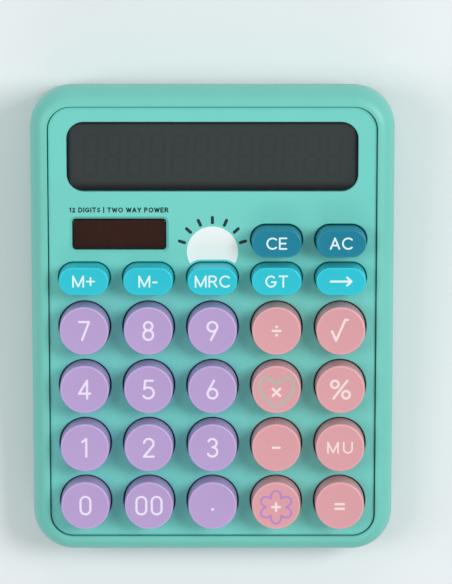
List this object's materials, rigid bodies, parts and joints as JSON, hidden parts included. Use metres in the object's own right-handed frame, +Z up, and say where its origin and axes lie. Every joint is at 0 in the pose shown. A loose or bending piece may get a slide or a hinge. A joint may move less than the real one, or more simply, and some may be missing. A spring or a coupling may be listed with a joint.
{
  "type": "desk calculator",
  "caption": "Wedge-shaped desk calculator with round and oval sprung keys, a wide tinted display, a solar cell and rubber feet, in mint, purple, pink and teal plastic.",
  "frame": {"origin": "on the table under the middle of the case", "axes": "+X to the user's right, +Y from the user towards the display, +Z up"},
  "size_m": [0.1154, 0.1508, 0.0326],
  "materials": {
    "mint_shell": "fine satin moulded",
    "mint_panel": "fine satin moulded",
    "dark_teal_cap": "smooth satin moulded",
    "cyan_cap": "smooth satin moulded",
    "purple_cap": "smooth satin moulded",
    "pink_cap": "smooth satin moulded",
    "tinted_lens": "polished smoke grey",
    "black_plastic": "fine textured",
    "display_glass": "polished, grey-green",
    "elastomer": "striped silicone",
    "solar_cover": "polished, tinted by the cell",
    "solar_silicon": "dark brown, striped",
    "circuit_board": "solder mask over glass fibre",
    "black_epoxy": "cured resin",
    "capacitor_can": "sleeved can",
    "cell_steel": "nickel plated",
    "spring_strip": "nickel plated strip",
    "red_wire": "insulation",
    "black_wire": "insulation",
    "zinc_screw": "zinc plated",
    "foot_rubber": "moulded"
  },
  "bodies": {
    "case": {"upper_housing": "mint_shell", "lower_housing": "mint_shell", "face_plate": "mint_panel", "display_window": "tinted_lens", "display_frame": "black_plastic", "key_switch_bank": "black_plastic", "lcd_glass": "display_glass", "zebra_connector": "elastomer", "solar_window": "solar_cover", "solar_cell": "solar_silicon", "main_board": "circuit_board", "controller_chip": "black_epoxy", "capacitor": "capacitor_can", "battery_cell": "cell_steel", "battery_contact_positive": "spring_strip", "battery_contact_negative": "spring_strip", "battery_lead_positive": "red_wire", "solar_lead_positive": "red_wire", "battery_lead_negative": "black_wire", "solar_lead_negative": "black_wire", "case_screw_front_left": "zinc_screw", "case_screw_front_right": "zinc_screw", "case_screw_rear_left": "zinc_screw", "case_screw_rear_right": "zinc_screw", "board_screw_front_left": "zinc_screw", "board_screw_front_right": "zinc_screw", "board_screw_rear_left": "zinc_screw", "board_screw_rear_right": "zinc_screw", "foot_front_left": "foot_rubber", "foot_front_right": "foot_rubber", "foot_rear_left": "foot_rubber", "foot_rear_right": "foot_rubber"},
    "key_clear_entry": {"key_clear_entry": "dark_teal_cap"},
    "key_all_clear": {"key_all_clear": "dark_teal_cap"},
    "key_memory_add": {"key_memory_add": "cyan_cap"},
    "key_memory_subtract": {"key_memory_subtract": "cyan_cap"},
    "key_memory_recall": {"key_memory_recall": "cyan_cap"},
    "key_grand_total": {"key_grand_total": "cyan_cap"},
    "key_backspace": {"key_backspace": "cyan_cap"},
    "key_7": {"key_7": "purple_cap"},
    "key_8": {"key_8": "purple_cap"},
    "key_9": {"key_9": "purple_cap"},
    "key_divide": {"key_divide": "pink_cap"},
    "key_square_root": {"key_square_root": "pink_cap"},
    "key_4": {"key_4": "purple_cap"},
    "key_5": {"key_5": "purple_cap"},
    "key_6": {"key_6": "purple_cap"},
    "key_multiply": {"key_multiply": "pink_cap"},
    "key_percent": {"key_percent": "pink_cap"},
    "key_1": {"key_1": "purple_cap"},
    "key_2": {"key_2": "purple_cap"},
    "key_3": {"key_3": "purple_cap"},
    "key_subtract": {"key_subtract": "pink_cap"},
    "key_mark_up": {"key_mark_up": "pink_cap"},
    "key_0": {"key_0": "purple_cap"},
    "key_00": {"key_00": "purple_cap"},
    "key_decimal_point": {"key_decimal_point": "purple_cap"},
    "key_add": {"key_add": "pink_cap"},
    "key_equals": {"key_equals": "pink_cap"},
    "battery_cover": {"battery_cover": "mint_shell"}
  },
  "joints": [
    {"name": "key_clear_entry_press", "type": "slide", "parent": "case", "child": "key_clear_entry", "axis": [0, 0.0785, -0.9969], "range_m": [0, 0.003], "stiffness_N_per_m": 150, "springref_m": -0.002},
    {"name": "key_all_clear_press", "type": "slide", "parent": "case", "child": "key_all_clear", "axis": [0, 0.0785, -0.9969], "range_m": [0, 0.003], "stiffness_N_per_m": 150, "springref_m": -0.002},
    {"name": "key_memory_add_press", "type": "slide", "parent": "case", "child": "key_memory_add", "axis": [0, 0.0785, -0.9969], "range_m": [0, 0.003], "stiffness_N_per_m": 150, "springref_m": -0.002},
    {"name": "key_memory_subtract_press", "type": "slide", "parent": "case", "child": "key_memory_subtract", "axis": [0, 0.0785, -0.9969], "range_m": [0, 0.003], "stiffness_N_per_m": 150, "springref_m": -0.002},
    {"name": "key_memory_recall_press", "type": "slide", "parent": "case", "child": "key_memory_recall", "axis": [0, 0.0785, -0.9969], "range_m": [0, 0.003], "stiffness_N_per_m": 150, "springref_m": -0.002},
    {"name": "key_grand_total_press", "type": "slide", "parent": "case", "child": "key_grand_total", "axis": [0, 0.0785, -0.9969], "range_m": [0, 0.003], "stiffness_N_per_m": 150, "springref_m": -0.002},
    {"name": "key_backspace_press", "type": "slide", "parent": "case", "child": "key_backspace", "axis": [0, 0.0785, -0.9969], "range_m": [0, 0.003], "stiffness_N_per_m": 150, "springref_m": -0.002},
    {"name": "key_7_press", "type": "slide", "parent": "case", "child": "key_7", "axis": [0, 0.0785, -0.9969], "range_m": [0, 0.003], "stiffness_N_per_m": 150, "springref_m": -0.002},
    {"name": "key_8_press", "type": "slide", "parent": "case", "child": "key_8", "axis": [0, 0.0785, -0.9969], "range_m": [0, 0.003], "stiffness_N_per_m": 150, "springref_m": -0.002},
    {"name": "key_9_press", "type": "slide", "parent": "case", "child": "key_9", "axis": [0, 0.0785, -0.9969], "range_m": [0, 0.003], "stiffness_N_per_m": 150, "springref_m": -0.002},
    {"name": "key_divide_press", "type": "slide", "parent": "case", "child": "key_divide", "axis": [0, 0.0785, -0.9969], "range_m": [0, 0.003], "stiffness_N_per_m": 150, "springref_m": -0.002},
    {"name": "key_square_root_press", "type": "slide", "parent": "case", "child": "key_square_root", "axis": [0, 0.0785, -0.9969], "range_m": [0, 0.003], "stiffness_N_per_m": 150, "springref_m": -0.002},
    {"name": "key_4_press", "type": "slide", "parent": "case", "child": "key_4", "axis": [0, 0.0785, -0.9969], "range_m": [0, 0.003], "stiffness_N_per_m": 150, "springref_m": -0.002},
    {"name": "key_5_press", "type": "slide", "parent": "case", "child": "key_5", "axis": [0, 0.0785, -0.9969], "range_m": [0, 0.003], "stiffness_N_per_m": 150, "springref_m": -0.002},
    {"name": "key_6_press", "type": "slide", "parent": "case", "child": "key_6", "axis": [0, 0.0785, -0.9969], "range_m": [0, 0.003], "stiffness_N_per_m": 150, "springref_m": -0.002},
    {"name": "key_multiply_press", "type": "slide", "parent": "case", "child": "key_multiply", "axis": [0, 0.0785, -0.9969], "range_m": [0, 0.003], "stiffness_N_per_m": 150, "springref_m": -0.002},
    {"name": "key_percent_press", "type": "slide", "parent": "case", "child": "key_percent", "axis": [0, 0.0785, -0.9969], "range_m": [0, 0.003], "stiffness_N_per_m": 150, "springref_m": -0.002},
    {"name": "key_1_press", "type": "slide", "parent": "case", "child": "key_1", "axis": [0, 0.0785, -0.9969], "range_m": [0, 0.003], "stiffness_N_per_m": 150, "springref_m": -0.002},
    {"name": "key_2_press", "type": "slide", "parent": "case", "child": "key_2", "axis": [0, 0.0785, -0.9969], "range_m": [0, 0.003], "stiffness_N_per_m": 150, "springref_m": -0.002},
    {"name": "key_3_press", "type": "slide", "parent": "case", "child": "key_3", "axis": [0, 0.0785, -0.9969], "range_m": [0, 0.003], "stiffness_N_per_m": 150, "springref_m": -0.002},
    {"name": "key_subtract_press", "type": "slide", "parent": "case", "child": "key_subtract", "axis": [0, 0.0785, -0.9969], "range_m": [0, 0.003], "stiffness_N_per_m": 150, "springref_m": -0.002},
    {"name": "key_mark_up_press", "type": "slide", "parent": "case", "child": "key_mark_up", "axis": [0, 0.0785, -0.9969], "range_m": [0, 0.003], "stiffness_N_per_m": 150, "springref_m": -0.002},
    {"name": "key_0_press", "type": "slide", "parent": "case", "child": "key_0", "axis": [0, 0.0785, -0.9969], "range_m": [0, 0.003], "stiffness_N_per_m": 150, "springref_m": -0.002},
    {"name": "key_00_press", "type": "slide", "parent": "case", "child": "key_00", "axis": [0, 0.0785, -0.9969], "range_m": [0, 0.003], "stiffness_N_per_m": 150, "springref_m": -0.002},
    {"name": "key_decimal_point_press", "type": "slide", "parent": "case", "child": "key_decimal_point", "axis": [0, 0.0785, -0.9969], "range_m": [0, 0.003], "stiffness_N_per_m": 150, "springref_m": -0.002},
    {"name": "key_add_press", "type": "slide", "parent": "case", "child": "key_add", "axis": [0, 0.0785, -0.9969], "range_m": [0, 0.003], "stiffness_N_per_m": 150, "springref_m": -0.002},
    {"name": "key_equals_press", "type": "slide", "parent": "case", "child": "key_equals", "axis": [0, 0.0785, -0.9969], "range_m": [0, 0.003], "stiffness_N_per_m": 150, "springref_m": -0.002},
    {"name": "battery_cover_twist", "type": "hinge", "parent": "case", "child": "battery_cover", "pos_m": [0, 0.04536, 0.00315], "axis": [0, 0, 1], "range_deg": [0, 45]}
  ]
}
